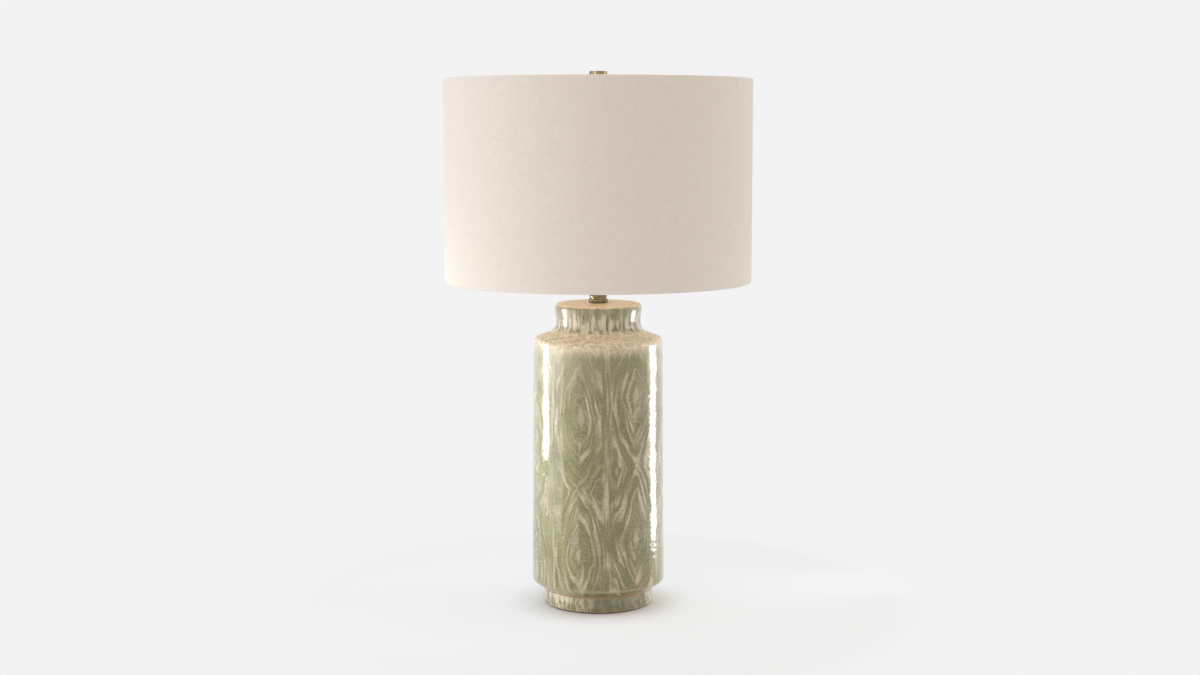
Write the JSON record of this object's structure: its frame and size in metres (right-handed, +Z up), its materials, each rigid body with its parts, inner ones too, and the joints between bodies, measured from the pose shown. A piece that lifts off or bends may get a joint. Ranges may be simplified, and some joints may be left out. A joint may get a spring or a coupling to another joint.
{
  "type": "table lamp",
  "caption": "Table lamp with a straight glazed ceramic jar on a stepped foot, a short turned neck, a harp and a drum shade under a cylindrical finial.",
  "frame": {"origin": "on the table, at the middle of the jar's foot", "axes": "+Z up along the lamp's axis, -Y to the front as pictured, +X to the viewer's right, the cord's inlet at the back (+Y)"},
  "size_m": [0.4062, 0.4064, 0.7112],
  "materials": {
    "base_felt": "dense felt",
    "celadon_glaze": "high-gloss green and cream glaze, combed like wood grain",
    "zinc_steel": "zinc plated",
    "nylon": "moulded, satin",
    "clear_rubber": "soft, translucent",
    "polished_brass": "polished, lacquered antique brass",
    "harp_brass": "bright plated wire and strip",
    "socket_brass": "bright thin sheet",
    "paper_sleeve": "pressed paper",
    "bulb_aluminium": "bright rolled",
    "phenolic": "moulded, glossy",
    "frosted_glass": "soft-white frosted",
    "ring_enamel": "white enamelled wire",
    "spider_brass": "brass plated wire",
    "liner_sheet": "white translucent sheet",
    "linen": "plain off-white linen"
  },
  "bodies": {
    "base": {"base_pad": "base_felt", "jar_body": "celadon_glaze", "base_washer": "zinc_steel", "base_spring_washer": "zinc_steel", "base_nut": "zinc_steel", "lamp_rod": "zinc_steel", "cord_bushing": "nylon", "neck_gasket": "clear_rubber", "neck": "polished_brass", "harp_saddle": "harp_brass", "saddle_nut": "harp_brass", "socket_cap": "socket_brass", "socket_set_screw": "socket_brass", "socket_shell": "socket_brass", "socket_sleeve": "paper_sleeve", "screw_shell": "bulb_aluminium", "socket_contact": "socket_brass", "switch_block": "phenolic", "terminal_screws": "socket_brass"},
    "switch": {"switch_shaft": "zinc_steel", "switch_knob": "phenolic"},
    "bulb": {"bulb_glass": "frosted_glass", "bulb_cap": "bulb_aluminium", "bulb_insulator": "phenolic", "bulb_button": "zinc_steel"},
    "harp": {"harp": "harp_brass", "harp_stud": "harp_brass"},
    "ferrule_left": {"harp_ferrule_left": "harp_brass"},
    "ferrule_right": {"harp_ferrule_right": "harp_brass"},
    "shade": {"shade_ring_top": "ring_enamel", "shade_ring_bottom": "ring_enamel", "shade_spider": "spider_brass", "shade_liner": "liner_sheet", "shade_fabric": "linen"},
    "finial": {"finial": "polished_brass"}
  },
  "joints": [
    {"name": "switch_turn", "type": "hinge", "parent": "base", "child": "switch", "pos_m": [0, -0.0159, 0.4801], "axis": [0, -1, 0], "continuous": true},
    {"name": "bulb_turn", "type": "hinge", "parent": "base", "child": "bulb", "pos_m": [0, 0, 0.5], "axis": [0, 0, 1], "continuous": true},
    {"name": "harp_lift", "type": "slide", "parent": "base", "child": "harp", "axis": [0, 0, 1], "range_m": [0, 0.015]},
    {"name": "ferrule_left_lift", "type": "slide", "parent": "harp", "child": "ferrule_left", "axis": [0, 0, 1], "range_m": [0, 0.012]},
    {"name": "ferrule_right_lift", "type": "slide", "parent": "harp", "child": "ferrule_right", "axis": [0, 0, 1], "range_m": [0, 0.012]},
    {"name": "shade_turn", "type": "hinge", "parent": "harp", "child": "shade", "pos_m": [0, 0, 0.6873], "axis": [0, 0, 1], "continuous": true},
    {"name": "finial_turn", "type": "hinge", "parent": "harp", "child": "finial", "pos_m": [0, 0, 0.695], "axis": [0, 0, 1], "continuous": true}
  ]
}
